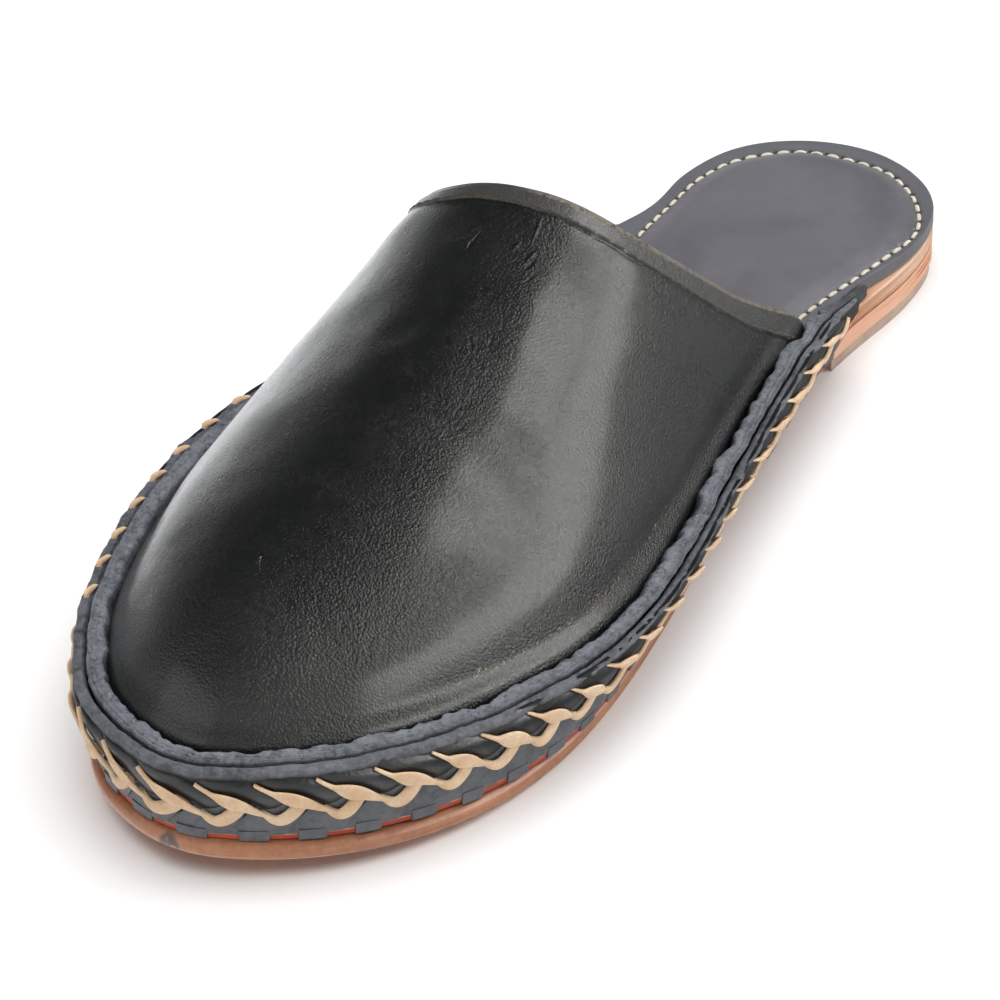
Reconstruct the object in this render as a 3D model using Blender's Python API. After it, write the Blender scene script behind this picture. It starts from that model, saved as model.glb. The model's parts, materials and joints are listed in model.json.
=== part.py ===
"""Braid-welted leather mule sandal, right foot, standing empty on its sole.

Metres. X runs to the toe, Y to the wearer's inner (medial) side, Z up from the floor.
The working frame has x = 0 at the back of the heel; every piece is moved at the end so
that the origin is at the middle of the bounding box, on the floor.
"""
import bpy
import bmesh
import math
import numpy as np
from mathutils import Vector

for old in list(bpy.data.objects):
    bpy.data.objects.remove(old, do_unlink=True)

MM = 0.001
GAP = 0.3 * MM            # clearance between pieces that touch

# sizes of the leather
SOLE_T = 4.1 * MM         # outsole, one thick tan leather
LIFT_T = 3.9 * MM         # stacked heel lift
TOP_LIFT_T = 2.8 * MM     # wearing piece under the heel
BED_T = 3.2 * MM          # footbed
SEAT_PAD = 1.3 * MM       # padded rise of the heel seat inside its stitch line
SEAT_MARGIN = 4.0 * MM    # flat margin outside that line
VAMP_T = 1.8 * MM         # upper leather with its lining
WELT_T = 3.9 * MM         # inner raw-edged strip of the rim
BAND_T = 2.4 * MM         # backing of the braided outer band
WALL_T = BAND_T + GAP + WELT_T
STRAP = 1.3 * MM          # rise of the plaited straps over that backing
STRAP_LOW = 0.9 * MM      # rise of the lower row
PITCH = 10.6 * MM         # spacing of the plaited straps along the rim
HEEL_END = 62 * MM        # front of the heel block
WELT_START = 46 * MM      # rear ends of the rim's inner strip
BAND_START = 54 * MM      # rear ends of the braided band
TOE_SPRING = 5.1 * MM     # rise of the sole under the toe tip

# outline of the outsole, once round: x, y in mm, medial side first
TOE_TIP = 13              # row of the toe tip
OUTLINE = [
    # x      y
    (0.0, 0.0), (3.2, 13.2), (13.5, 25.0), (31.0, 29.0), (54.0, 28.2), (78.0, 28.6),
    (104.0, 33.0), (132.0, 39.4), (160.0, 46.0), (186.0, 50.4), (208.0, 51.3),
    (232.0, 46.4), (254.0, 32.4), (267.8, 9.0),
    (260.4, -14.0), (242.4, -29.6), (220.5, -41.0), (196.0, -48.8), (170.0, -50.5),
    (140.0, -46.0), (110.0, -38.2), (80.0, -30.4), (54.0, -28.4), (31.0, -29.0),
    (13.5, -25.0), (3.2, -13.2),
]

# rim along the shoe, mm: how far its outer face stands outside the sole's edge at its
# foot and at its top, and the height of its top, each for the medial and the lateral
# side, and its thickness as a share of the full one
RIM = [
    # x    foot_m foot_l  top_m top_l  high_m high_l  share
    (42.0,  0.0,  0.0,    0.0,  0.0,   14.4,  12.2,  0.25),
    (52.0,  1.2,  1.6,    1.6,  2.0,   15.2,  13.6,  0.40),
    (62.0,  3.2,  3.6,    4.0,  5.2,   17.8,  16.8,  0.55),
    (76.0,  4.9,  6.0,    6.6,  8.8,   21.0,  20.6,  0.78),
    (100.0, 4.4,  5.8,    7.8,  9.8,   20.8,  21.6,  1.0),
    (135.0, 0.8,  1.0,    7.6,  7.2,   19.6,  20.0,  1.0),
    (165.0, -0.6, -1.6,   8.0,  5.5,   19.8,  20.2,  1.0),
    (188.0, 0.4, -1.9,    7.0,  3.2,   20.6,  21.0,  1.0),
    (210.0, -0.2, -1.9,   3.8,  2.2,   21.8,  21.8,  1.0),
    (236.0, -1.6, -1.6,   0.9,  2.2,   23.2,  23.2,  1.0),
    (256.0, -1.9, -1.6,   0.2,  1.6,   24.4,  24.4,  1.0),
    (268.0, -1.9, -1.9,   0.4,  0.4,   24.9,  24.9,  1.0),
]

# crest of the vamp, mm: x, height, sideways shift to the medial side, and the two
# exponents of its cross-section on the medial and on the lateral side
CREST = [
    # x     z     shift  bow_m  lift_m  bow_l  lift_l
    (141.0, 79.0, 2.5, 2.00, 1.50, 1.85, 1.52),
    (156.0, 72.2, 4.5, 1.95, 1.45, 1.82, 1.34),
    (172.0, 66.0, 6.0, 1.90, 1.42, 1.80, 1.30),
    (204.0, 56.0, 5.5, 1.90, 1.45, 1.90, 1.35),
    (231.0, 49.5, 5.0, 2.00, 1.50, 2.00, 1.50),
    (262.0, 45.0, 9.0, 2.00, 1.50, 2.00, 1.50),
]
CROWN_X = 231.0           # centre of the toe's round, mm
TOE_ROUND = (205.0, 2.5, 2.0)   # where the crest starts to turn down, and how fast
TOPLINE_BACK = 64.5       # how far the top line falls back from crest to rim, mm
TOPLINE_BOW = (4.0, 4.2)  # its curve on the medial and on the lateral side


def smooth(t):
    t = min(1.0, max(0.0, t))
    return t * t * (3 - 2 * t)


def table(rows, column):
    """Shape-keeping cubic through one column of a table, read at x (mm)."""
    xs = [r[0] for r in rows]
    ys = [r[column] for r in rows]
    h = [b - a for a, b in zip(xs, xs[1:])]
    s = [(b - a) / c for a, b, c in zip(ys, ys[1:], h)]
    m = [s[0]] + [0.0 if a * b <= 0 else 2 * a * b / (a + b) for a, b in zip(s, s[1:])] + [s[-1]]

    def read(x):
        if x <= xs[0]:
            return ys[0]
        if x >= xs[-1]:
            return ys[-1]
        i = max(k for k in range(len(h)) if xs[k] <= x)
        t = (x - xs[i]) / h[i]
        a, b = ys[i], ys[i + 1]
        return ((1 + 2 * t) * (1 - t) ** 2 * a + t * (1 - t) ** 2 * h[i] * m[i]
                + t * t * (3 - 2 * t) * b + t * t * (t - 1) * h[i] * m[i + 1])
    return read


FOOT, TOP, HIGH = ((table(RIM, k), table(RIM, k + 1)) for k in (1, 3, 5))
SHARE = table(RIM, 7)


def by_side(pair, x, s):
    """Value at x, where s runs from 0 on the lateral side to 1 on the medial side."""
    return pair[0](x) * s + pair[1](x) * (1 - s)


def side_of(y):
    return 1.0 / (1.0 + math.exp(-y / (6 * MM)))


def loop_curve(points, per=24):
    """Closed Catmull-Rom curve through the points, as a dense polyline in metres."""
    n = len(points)
    out = []
    for i in range(n):
        p = [np.array(points[(i + k) % n], float) for k in (-1, 0, 1, 2)]
        k = [0.0]
        for a, b in zip(p, p[1:]):
            k.append(k[-1] + math.sqrt(np.linalg.norm(b - a)))
        for j in range(per):
            t = k[1] + (k[2] - k[1]) * j / per
            a1 = (k[1] - t) / (k[1] - k[0]) * p[0] + (t - k[0]) / (k[1] - k[0]) * p[1]
            a2 = (k[2] - t) / (k[2] - k[1]) * p[1] + (t - k[1]) / (k[2] - k[1]) * p[2]
            a3 = (k[3] - t) / (k[3] - k[2]) * p[2] + (t - k[2]) / (k[3] - k[2]) * p[3]
            b1 = (k[2] - t) / (k[2] - k[0]) * a1 + (t - k[0]) / (k[2] - k[0]) * a2
            b2 = (k[3] - t) / (k[3] - k[1]) * a2 + (t - k[1]) / (k[3] - k[1]) * a3
            out.append(((k[2] - t) / (k[2] - k[1]) * b1 + (t - k[1]) / (k[2] - k[1]) * b2) * MM)
    return np.array(out), per


DENSE, PER = loop_curve(OUTLINE)
TIP = TOE_TIP * PER


def shifted(amount):
    """The sole outline moved outwards; amount(x_mm, medial) gives the distance."""
    ahead, back = np.roll(DENSE, -2, axis=0), np.roll(DENSE, 2, axis=0)
    t = ahead - back
    t /= np.linalg.norm(t, axis=1)[:, None]
    n = np.stack([t[:, 1], -t[:, 0]], 1)            # the loop runs clockwise from above
    if np.dot(n[TIP], (1, 0)) < 0:
        n = -n
    return DENSE + n * np.array([amount(p[0] / MM, side_of(p[1])) for p in DENSE])[:, None]


def run(points, count):
    """count+1 points evenly along a polyline."""
    points = np.asarray(points)
    s = np.r_[0, np.cumsum(np.linalg.norm(np.diff(points, axis=0), axis=1))]
    u = np.linspace(0, 1, count + 1) * s[-1]
    return np.stack([np.interp(u, s, points[:, k]) for k in range(points.shape[1])], 1)


def halves(loop, count):
    """Matching points up the medial and the lateral side, heel back to toe tip."""
    med = run(loop[:TIP + 1], count)
    lat = run(np.vstack([loop[TIP:], loop[:1]]), count)[::-1]
    return med, lat


def sole_under(x):
    """Height of the sole's underside: on the heel, down the waist, flat, toe spring."""
    x = x / MM
    heel = TOP_LIFT_T + LIFT_T + 2 * GAP
    if x <= 62:
        return heel
    if x < 148:
        return heel * (1 - smooth((x - 62) / 86))
    if x < 188:
        return 0.0
    return TOE_SPRING * ((x - 188) / 80) ** 1.7


def sole_top(x):
    return sole_under(x) + SOLE_T


def finish(name, bm, colour, roughness, smooth_angle=40):
    bmesh.ops.remove_doubles(bm, verts=bm.verts, dist=1e-6)
    bmesh.ops.recalc_face_normals(bm, faces=bm.faces)
    mesh = bpy.data.meshes.new(name)
    bm.to_mesh(mesh)
    bm.free()
    ob = bpy.data.objects.new(name, mesh)
    bpy.context.collection.objects.link(ob)
    mat = bpy.data.materials.new(name)
    mat.use_nodes = True
    p = mat.node_tree.nodes["Principled BSDF"]
    p.inputs["Base Color"].default_value = (*colour, 1)
    p.inputs["Roughness"].default_value = roughness
    p.inputs["Metallic"].default_value = 0.0
    mesh.materials.append(mat)
    mesh.shade_smooth()
    mesh.set_sharp_from_angle(angle=math.radians(smooth_angle))
    return ob


def sheet(bm, grid, closed=False, flip=False):
    """Quads over a grid of BMVerts, rows by columns."""
    rows, cols = len(grid), len(grid[0])
    for i in range(rows - 1):
        for j in range(cols - (0 if closed else 1)):
            k = (j + 1) % cols
            ring = [grid[i][j], grid[i][k], grid[i + 1][k], grid[i + 1][j]]
            ring = [v for n, v in enumerate(ring) if v is not ring[n - 1]]
            if len(set(ring)) >= 3:
                bm.faces.new(ring[::-1] if flip else ring)


def plate(name, loops, under, over, colour, roughness, count=34, across=4, crown=None):
    """A leather layer: loops is [(outline, height fraction)...] from bottom to top."""
    bm = bmesh.new()
    sides = []
    for loop, f in loops:
        med, lat = halves(loop, count)
        ring = []
        for p in list(med) + list(lat[-2:0:-1]):
            z = under(p[0]) + (over(p[0]) - under(p[0])) * f
            ring.append(bm.verts.new((p[0], p[1], z)))
        sides.append(ring)
    sheet(bm, sides, closed=True)
    for ring, height, bump in ((sides[0], under, None), (sides[-1], over, crown)):
        med = ring[:count + 1]
        lat = [ring[0]] + ring[:count:-1] + [ring[count]]
        grid = [[med[0]] * (across + 1)]
        for a, b in zip(med[1:-1], lat[1:-1]):
            row = [a]
            for k in range(1, across):
                p = a.co.lerp(b.co, k / across)
                z = height(p.x) + (bump(p.x, p.y, a.co.y, b.co.y) if bump else 0.0)
                row.append(bm.verts.new((p.x, p.y, z)))
            grid.append(row + [b])
        grid.append([med[-1]] * (across + 1))
        sheet(bm, grid)
    return finish(name, bm, colour, roughness)


TAN, ORANGE, PALE = (0.56, 0.30, 0.16), (0.60, 0.26, 0.12), (0.42, 0.32, 0.24)
BLACK, SUEDE, BED = (0.012, 0.013, 0.014), (0.055, 0.065, 0.085), (0.05, 0.052, 0.056)

# outsole: chamfered along its upper edge where the straps are tucked in
edge = shifted(lambda x, s: 0.0)
upper_edge = shifted(lambda x, s: -1.3 * MM * smooth((x - 60) / 60))
plate("outsole", [(shifted(lambda x, s: -0.6 * MM), 0.0), (edge, 0.18), (edge, 0.66), (upper_edge, 1.0)],
      sole_under, sole_top, TAN, 0.5, count=36, across=4)


def heel_piece(name, low, high, inset, colour, roughness):
    """One lift of the heel: the heel end of the outline, closed by a curved breast."""
    loop = shifted(lambda x, s: -inset)
    pts = [p for p in loop[:TIP] if p[0] <= HEEL_END]
    other = [p for p in loop[TIP:] if p[0] <= HEEL_END]
    med = run(pts, 16)
    lat = run(other + [loop[0]], 16)[::-1]
    bm = bmesh.new()
    layers = []
    for z in (low, high):
        grid = [[bm.verts.new((*med[0], z))] * 5]
        for j in range(1, 17):
            row = []
            for k in range(5):
                p = med[j] + (lat[j] - med[j]) * k / 4
                x = p[0] - (5 * MM * (1 - (k / 2 - 1) ** 2) * smooth((j - 8) / 8))
                row.append(bm.verts.new((x, p[1], z)))
            grid.append(row)
        layers.append(grid)
    for grid in layers:
        sheet(bm, grid)
    a, b = layers
    around = lambda g: ([r[0] for r in g] + g[-1][1:] + [r[-1] for r in g[-2:0:-1]])
    sheet(bm, [around(a), around(b)], closed=True)
    return finish(name, bm, colour, roughness)


heel_piece("heel_top_lift", 0.0, TOP_LIFT_T, 1.0 * MM, PALE, 0.7)
heel_piece("heel_lift", TOP_LIFT_T + GAP, TOP_LIFT_T + GAP + LIFT_T, 0.5 * MM, ORANGE, 0.55)


def wall_line(depth, f):
    """Line at height fraction f of the rim wall, depth inwards from its outer face."""
    lean = f ** 1.3

    def amount(x, s):
        out = by_side(FOOT, x, s) * (1 - lean) + by_side(TOP, x, s) * lean
        gap = GAP if depth > BAND_T + 1e-9 else 0.0     # between band and welt
        thin = (min(depth, WALL_T) - gap) * SHARE(x) + gap + max(0.0, depth - WALL_T)
        return out * MM - thin
    return shifted(amount)


def rim_z(p, f):
    low = sole_top(p[0]) + GAP
    return low + (by_side(HIGH, p[0] / MM, side_of(p[1])) * MM - low) * f


def rim_span(loop, start):
    """The part of a loop round the toe, from x = start on the medial side and back to it."""
    a = next(i for i in range(len(loop)) if loop[i][0] >= start)
    b = max(i for i in range(TIP, len(loop)) if loop[i][0] >= start)
    return loop[a:b + 1]


def strip(name, faces, count, colour, roughness, start):
    """A closed ribbon round the toe from x = start; faces is a ring of (depth, height fraction)."""
    bm = bmesh.new()
    rings = []
    lines = [run(rim_span(wall_line(d, f), start), count) for d, f in faces]
    for i in range(count + 1):
        ring = []
        for (d, f), line in zip(faces, lines):
            p = line[i]
            z = rim_z(p, f)
            ring.append(bm.verts.new((p[0], p[1], z)))
        rings.append(ring)
    sheet(bm, rings, closed=True)
    bm.faces.new(rings[0])
    bm.faces.new(rings[-1][::-1])
    return finish(name, bm, colour, roughness)


# inner strip of the rim, its raw edge up
inner = BAND_T + GAP
strip("welt", [(inner, 0.0), (inner, 0.55), (inner, 1.0), (inner + WELT_T, 1.0),
               (inner + WELT_T, 0.5), (inner + WELT_T, 0.0)],
      76, SUEDE, 0.9, WELT_START)


def braided_band():
    """Outer band: two rows of plaited straps standing out of a thin backing."""
    upper = [0.93, 0.84, 0.66, 0.50, 0.44]       # height fractions of the upper row
    lower = [0.38, 0.26, 0.16, 0.13, 0.0]
    rise = {0.93: 0.25, 0.84: 0.85, 0.66: 1.0, 0.50: 0.85, 0.44: 0.15,
            0.38: 0.75, 0.26: 1.0, 0.16: 0.8, 0.13: 0.8, 0.0: 0.75}
    fractions = [0.99] + upper + lower
    phases = [0.0, 0.16, 0.40, 0.64, 0.88]
    level = [0.0, 0.85, 1.0, 0.95, 0.7]
    span = rim_span(wall_line(0.0, 1.0), BAND_START + 4 * MM)
    length = np.linalg.norm(np.diff(span, axis=0), axis=1).sum()
    units = int(round(length / PITCH)) - 2
    lines = {f: rim_span(wall_line(0.0, f), BAND_START) for f in fractions}
    backs = [(BAND_T, 0.99), (BAND_T, 0.5), (BAND_T, 0.0)]
    back_lines = {f: rim_span(wall_line(d, f), BAND_START) for d, f in backs}

    def at(line, u):
        s = np.r_[0, np.cumsum(np.linalg.norm(np.diff(line, axis=0), axis=1))]
        return np.array([np.interp(u * s[-1], s, line[:, k]) for k in (0, 1)])

    def lean(f):
        """Shift of a strap along the rim, in pitches, from the top edge down."""
        if f >= 0.44:
            return -(0.99 - f) / 0.55
        return -1.0 + (0.44 - f) / 0.44 * 0.75

    bm = bmesh.new()
    rings = []
    total = units * len(phases)
    for i in range(total + 1):
        unit, k = divmod(i, len(phases))
        ring = []
        for f in fractions:
            u = (unit + phases[k] + 1.0 + lean(f)) / (units + 1.25)
            if i in (0, total):
                u = (unit + 0.6) / (units + 1.25)
            p = at(lines[f], min(1.0, max(0.0, u)))
            q = at(lines[f], min(1.0, u + 0.002))
            o = at(lines[f], max(0.0, u - 0.002))
            t = (q - o) / np.linalg.norm(q - o)
            n = np.array([-t[1], t[0]])
            if np.dot(n, p - np.array([0.16, 0.0])) < 0:
                n = -n
            h = STRAP if f >= 0.44 else STRAP_LOW
            out = h * rise.get(f, 0.0) * level[k]
            if f < 0.2 and k in (0, 4):
                out = -0.6 * MM
            p = p + n * out
            ring.append(bm.verts.new((p[0], p[1], rim_z(p, f))))
        for d, f in backs[::-1]:
            u = (unit + phases[k] + 0.6) / (units + 1.25)
            p = at(back_lines[f], min(1.0, u))
            ring.append(bm.verts.new((p[0], p[1], rim_z(p, f))))
        rings.append(ring)
    sheet(bm, rings, closed=True)
    bm.faces.new(rings[0])
    bm.faces.new(rings[-1][::-1])
    return finish("braided_band", bm, BLACK, 0.4)


braided_band()


# vamp
CREST_Z, CREST_Y = table(CREST, 1), table(CREST, 2)
BOW_M, LIFT_M, BOW_L, LIFT_L = (table(CREST, k) for k in (3, 4, 5, 6))
BESIDE = WALL_T + 1.8 * GAP      # the vamp's side stands this deep behind the braid
FEATHER, MIDDLE, SKIRT = (wall_line(BESIDE, f) for f in (0.88, 0.5, 0.0))
TOE_X = CROWN_X * MM
FRONT = max(FEATHER[:, 0])


def feather_z(p):
    return rim_z(p, 0.86)


def topline_x(u, bow=TOPLINE_BOW[0]):
    """x of the top line where u runs from 0 at the crest to 1 at the rim."""
    return (CREST[0][0] - TOPLINE_BACK * abs(u) ** bow) * MM


def vamp():
    back, cap, half = 15, 11, 9
    med = FEATHER[:TIP + 1]
    lat = FEATHER[TIP:]
    end_x = topline_x(1.0)

    def side_y(line, x):
        i = np.argsort(line[:, 0])
        return float(np.interp(x, line[i, 0], line[i, 1]))

    def crest(x, base):
        """Height of the crest over the feather line, rounded down at the toe."""
        start, p, q = TOE_ROUND
        t = min(1.0, max(0.0, (x - start * MM) / (FRONT - start * MM)))
        return (CREST_Z(x / MM) * MM - base) * (1 - t ** p) ** (1 / q)

    def surface(foot, centre, u):
        """Point at fraction u from the crest out to the foot of the dome."""
        base = feather_z(foot)
        p = centre + (foot - centre) * u
        if u > 0.9999:
            return np.array([foot[0], foot[1], base])
        x = p[0] / MM
        mid = CREST_Y(x) * MM
        medial = p[1] > mid
        edge_y = side_y(med if medial else lat, max(p[0], end_x))
        v = min(1.0, abs(p[1] - mid) / max(abs(edge_y - mid), 1e-6))
        if centre[0] < TOE_X - 1e-6:
            v = u
        bow, lift = (BOW_M(x), LIFT_M(x)) if medial else (BOW_L(x), LIFT_L(x))
        return np.array([p[0], p[1], base + crest(p[0], base) * (1 - v ** bow) ** (1 / lift)])

    fracs = [math.sin(math.pi / 2 * k / half) ** 0.9 for k in range(half + 1)]
    # rear part, top line to toe crown: rows across the shoe
    rows = []
    for i in range(back + 1):
        t = i / back
        row = []
        for line, bow in zip((med, lat), TOPLINE_BOW):
            part = []
            for u in fracs:
                x = topline_x(u, bow) + (TOE_X - topline_x(u, bow)) * t
                xx = max(x, end_x)
                centre = np.array([x, CREST_Y(xx / MM) * MM])
                foot = np.array([x, side_y(line, xx)])
                part.append(surface(foot, centre, u))
            row.append(part)
        rows.append([p for p in row[0][::-1]] + row[1][1:])
    # toe cap: rings of the fan about the toe crown
    crown = np.array([TOE_X, CREST_Y(TOE_X / MM) * MM])
    a = next(i for i in range(len(FEATHER)) if FEATHER[i][0] >= TOE_X)
    b = max(i for i in range(TIP, len(FEATHER)) if FEATHER[i][0] >= TOE_X)
    arc = np.vstack([[[TOE_X, side_y(med, TOE_X)]], FEATHER[a:b + 1], [[TOE_X, side_y(lat, TOE_X)]]])
    arc = run(arc, 2 * cap)
    fan = []
    for foot in arc:
        fan.append([surface(foot, crown, u) for u in fracs])
    return rows, fan, fracs


def build_vamp():
    rows, fan, fracs = vamp()
    half = len(fracs) - 1
    bm = bmesh.new()
    outer = {}

    def vert(p):
        key = tuple(np.round(np.array(p) * 1e6).astype(int))
        if key not in outer:
            outer[key] = bm.verts.new(p)
        return outer[key]

    grid = [[vert(p) for p in row] for row in rows]
    sheet(bm, grid)
    fan[0] = [rows[-1][half - k] for k in range(half + 1)]
    fan[-1] = [rows[-1][half + k] for k in range(half + 1)]
    cap = [[vert(p) for p in line] for line in fan]
    sheet(bm, cap)
    # skirt: down the inside of the welt to the sole
    rim = [r[0] for r in grid] + [c[-1] for c in cap[1:-1]] + [r[-1] for r in grid[::-1]]
    feet = []
    for v in rim:
        p = np.array(v.co[:2])
        i = int(np.argmin(np.linalg.norm(FEATHER - p, axis=1)))
        m, q = MIDDLE[i] + (p - FEATHER[i]), SKIRT[i] + (p - FEATHER[i])
        feet.append([v, vert((m[0], m[1], rim_z(m, 0.5))),
                     vert((q[0], q[1], sole_top(q[0]) + GAP))])
    sheet(bm, feet)
    bmesh.ops.remove_doubles(bm, verts=bm.verts, dist=1e-5)
    bmesh.ops.recalc_face_normals(bm, faces=bm.faces)
    top = max(bm.faces, key=lambda f: f.calc_center_median().z)
    if top.normal.z < 0:
        bmesh.ops.reverse_faces(bm, faces=bm.faces)
    ob = finish("vamp", bm, BLACK, 0.35, 70)
    bm = bmesh.new()
    bm.from_mesh(ob.data)
    bm.normal_update()
    top = max(bm.faces, key=lambda f: f.calc_center_median().z)
    if top.normal.z < 0:
        bmesh.ops.reverse_faces(bm, faces=bm.faces)
        bm.normal_update()
    outside = list(bm.faces)
    edges = [e for e in bm.edges if e.is_boundary]
    twin = {}
    for v in list(bm.verts):
        n = v.normal.copy()
        c = v.co - n * VAMP_T
        low = sole_top(v.co.x) + GAP
        if v.co.z < low + 0.01 * MM:               # bottom edge stays level on the sole
            h = Vector((n.x, n.y, 0)).normalized()
            c = v.co - h * VAMP_T
            c.z = sole_top(c.x) + GAP
        twin[v] = bm.verts.new(c)
    for f in outside:
        bm.faces.new([twin[v] for v in reversed(f.verts)])
    for e in edges:
        a, b = e.verts
        loop = e.link_loops[0]
        if loop.vert is not a:
            a, b = b, a
        bm.faces.new([b, a, twin[a], twin[b]])
    bmesh.ops.recalc_face_normals(bm, faces=bm.faces)
    bm.to_mesh(ob.data)
    bm.free()
    ob.data.shade_smooth()
    ob.data.set_sharp_from_angle(angle=math.radians(60))
    return ob


build_vamp()


# footbed: flush with the heel's edge, then inside the welt, then inside the vamp
def bed_line(f):
    """Edge of the footbed at height fraction f of the rim wall beside it."""
    lean = f ** 1.3

    def amount(x, s):
        out = by_side(FOOT, x, s) * (1 - lean) + by_side(TOP, x, s) * lean
        wall = out * MM - (WALL_T - GAP) * SHARE(x) - 3 * GAP
        tuck = (VAMP_T + 1.6 * GAP) * smooth((x - 66) / 9)
        free = smooth((x - 36) / 8)                  # where the rim starts
        return min(0.0, wall - tuck) * free
    return shifted(amount)


def bed_under(x):
    return sole_top(x) + GAP


def bed_top(x):
    return bed_under(x) + BED_T


def seat_crown(x, y, y_med, y_lat):
    """Padded heel seat: rises inside the stitch line, dies away under the vamp."""
    inside = min(abs(y_med - y), abs(y - y_lat), x) - SEAT_MARGIN
    return SEAT_PAD * smooth(inside / (6 * MM)) * (1 - smooth((x / MM - 130) / 60))


plate("footbed", [(bed_line(0.0), 0.0), (bed_line(0.16), 1.0)], bed_under, bed_top, BED, 0.5,
      count=36, across=8, crown=seat_crown)

# origin to the middle of the bounding box, on the floor
pieces = [o for o in bpy.context.collection.objects if o.type == "MESH"]
corners = [o.matrix_world @ v.co for o in pieces for v in o.data.vertices]
cx = (min(c.x for c in corners) + max(c.x for c in corners)) / 2
cy = (min(c.y for c in corners) + max(c.y for c in corners)) / 2
for o in pieces:
    for v in o.data.vertices:
        v.co.x -= cx
        v.co.y -= cy
    o.data.update()
print("centre", round(cx, 5), round(cy, 5))
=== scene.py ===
"""The looks of a right-foot leather mule with a plaited rim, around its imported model.

Metres. X runs to the toe, Y to the inner (medial) side of the foot, Z up from the floor.
"""
import json
import math

import bmesh
import bpy
import numpy as np
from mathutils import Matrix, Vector, noise
from mathutils.bvhtree import BVHTree

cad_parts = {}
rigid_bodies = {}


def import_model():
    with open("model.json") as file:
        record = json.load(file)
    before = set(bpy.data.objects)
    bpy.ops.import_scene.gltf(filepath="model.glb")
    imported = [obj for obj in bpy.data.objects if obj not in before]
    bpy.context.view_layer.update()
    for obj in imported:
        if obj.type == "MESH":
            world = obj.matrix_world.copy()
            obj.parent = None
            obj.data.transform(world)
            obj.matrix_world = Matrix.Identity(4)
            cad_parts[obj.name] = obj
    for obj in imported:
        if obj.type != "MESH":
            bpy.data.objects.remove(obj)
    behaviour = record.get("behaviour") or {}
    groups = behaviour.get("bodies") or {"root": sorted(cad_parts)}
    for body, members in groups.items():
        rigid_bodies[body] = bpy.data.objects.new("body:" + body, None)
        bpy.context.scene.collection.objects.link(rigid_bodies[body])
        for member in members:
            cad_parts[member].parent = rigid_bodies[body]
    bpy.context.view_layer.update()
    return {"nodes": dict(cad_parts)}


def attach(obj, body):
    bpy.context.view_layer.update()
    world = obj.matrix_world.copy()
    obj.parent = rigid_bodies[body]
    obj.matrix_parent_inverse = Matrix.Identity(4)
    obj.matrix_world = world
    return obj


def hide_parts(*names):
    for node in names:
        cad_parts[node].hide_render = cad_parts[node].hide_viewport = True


for leftover in list(bpy.data.objects):
    bpy.data.objects.remove(leftover, do_unlink=True)

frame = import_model()

MM = 0.001

# camera: it stands where the photograph was taken from, turned to this one shoe
EYE = Vector((0.6436, 0.4327, 0.5320))
LEVEL_AIM = Vector((-0.0317, 0.0326, 0.0))     # seen along this line the horizon is level
AIM = Vector((0.0269, 0.0090, 0.0200))
LENS = 168.0               # mm, on a sensor of this width
SENSOR = 36.0

# rim of the shoe
PITCH = 10.5 * MM          # spacing of the lace's turns
RIM_H = 15.4 * MM          # height of the rim wall at the toe, which the plait is drawn for
TOE = 0.54                 # where the toe is along the rim, as a share of its length
CALM = 0.63                # and where the calmer edge of the outer side begins
WALL_T = 3.8 * MM          # the rim wall between its two top edges, where it isn't thinned out
OUTER_T = 2.7 * MM         # the outer leather of the rim, with its seam
LIP = 3.6 * MM             # where the inner strip's lip is measured from, inwards from the outer top edge
LIP_MOST = 3.0 * MM        # the most that it goes on from there
END_TAPER = 5.0 * MM       # length over which the rim's strips thin out at their ends
OUTER_START = 9.0 * MM     # what the rim's outer pieces leave free at the two ends of the rim
OUTER_END = 14.0 * MM
BRAID_START = 14.0 * MM    # what the plait leaves free at each end
LACE_T = 1.1 * MM
TAB_TOP = 13.3 * MM        # below the rim's top edge
TAB_H = 2.1 * MM
# one turn of the lace from the tip of its long stroke: pitches along, mm down, mm out, mm wide
LONG = ((0, 0, 0.6, 0.4), (0.14, 0.9, 1.0, 0.6), (0.26, 1.7, 1.3, 0.9), (0.35, 2.1, 1.6, 1.9),
        (0.46, 2.6, 1.8, 2.7), (0.56, 3.1, 1.9, 3.0), (0.68, 3.75, 1.85, 2.6), (0.80, 4.55, 1.7, 1.9),
        (0.92, 5.5, 1.5, 1.3), (1.05, 6.4, 1.2, 0.9), (1.14, 7.1, 0.9, 0.9))
FOOT = ((1.00, 6.0, 0.7, 0.7), (1.08, 6.75, 1.1, 1.2), (1.17, 7.4, 1.4, 1.6), (1.28, 7.6, 1.5, 1.95),
        (1.40, 7.05, 1.5, 2.1), (1.53, 5.95, 1.35, 2.1), (1.64, 4.8, 1.1, 2.0), (1.76, 3.7, 0.6, 1.9))
# along the top edge from its medial end: how far it is drawn back, mm, and the hem's width, mm
TOP_CUT = ((0, 0), (0.05, 0.3), (0.1, -2.0), (0.15, -1.8), (0.2, 0), (0.25, 2.2), (0.3, 3.8), (0.35, 4.8),
           (0.4, 4.2), (0.45, 1.2), (0.5, -1.6), (0.55, -1.0), (0.6, 0), (1, 0))
HEM = ((0, 5.6), (0.12, 5.6), (0.2, 5.0), (0.3, 4.7), (0.4, 4.2), (0.5, 3.4), (1, 3.2))
HEM_SEAM = 1.03            # its stitched groove, in hem widths from the edge
SEAT_PITCH = 3.7 * MM      # of the heel seat's stitches
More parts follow.
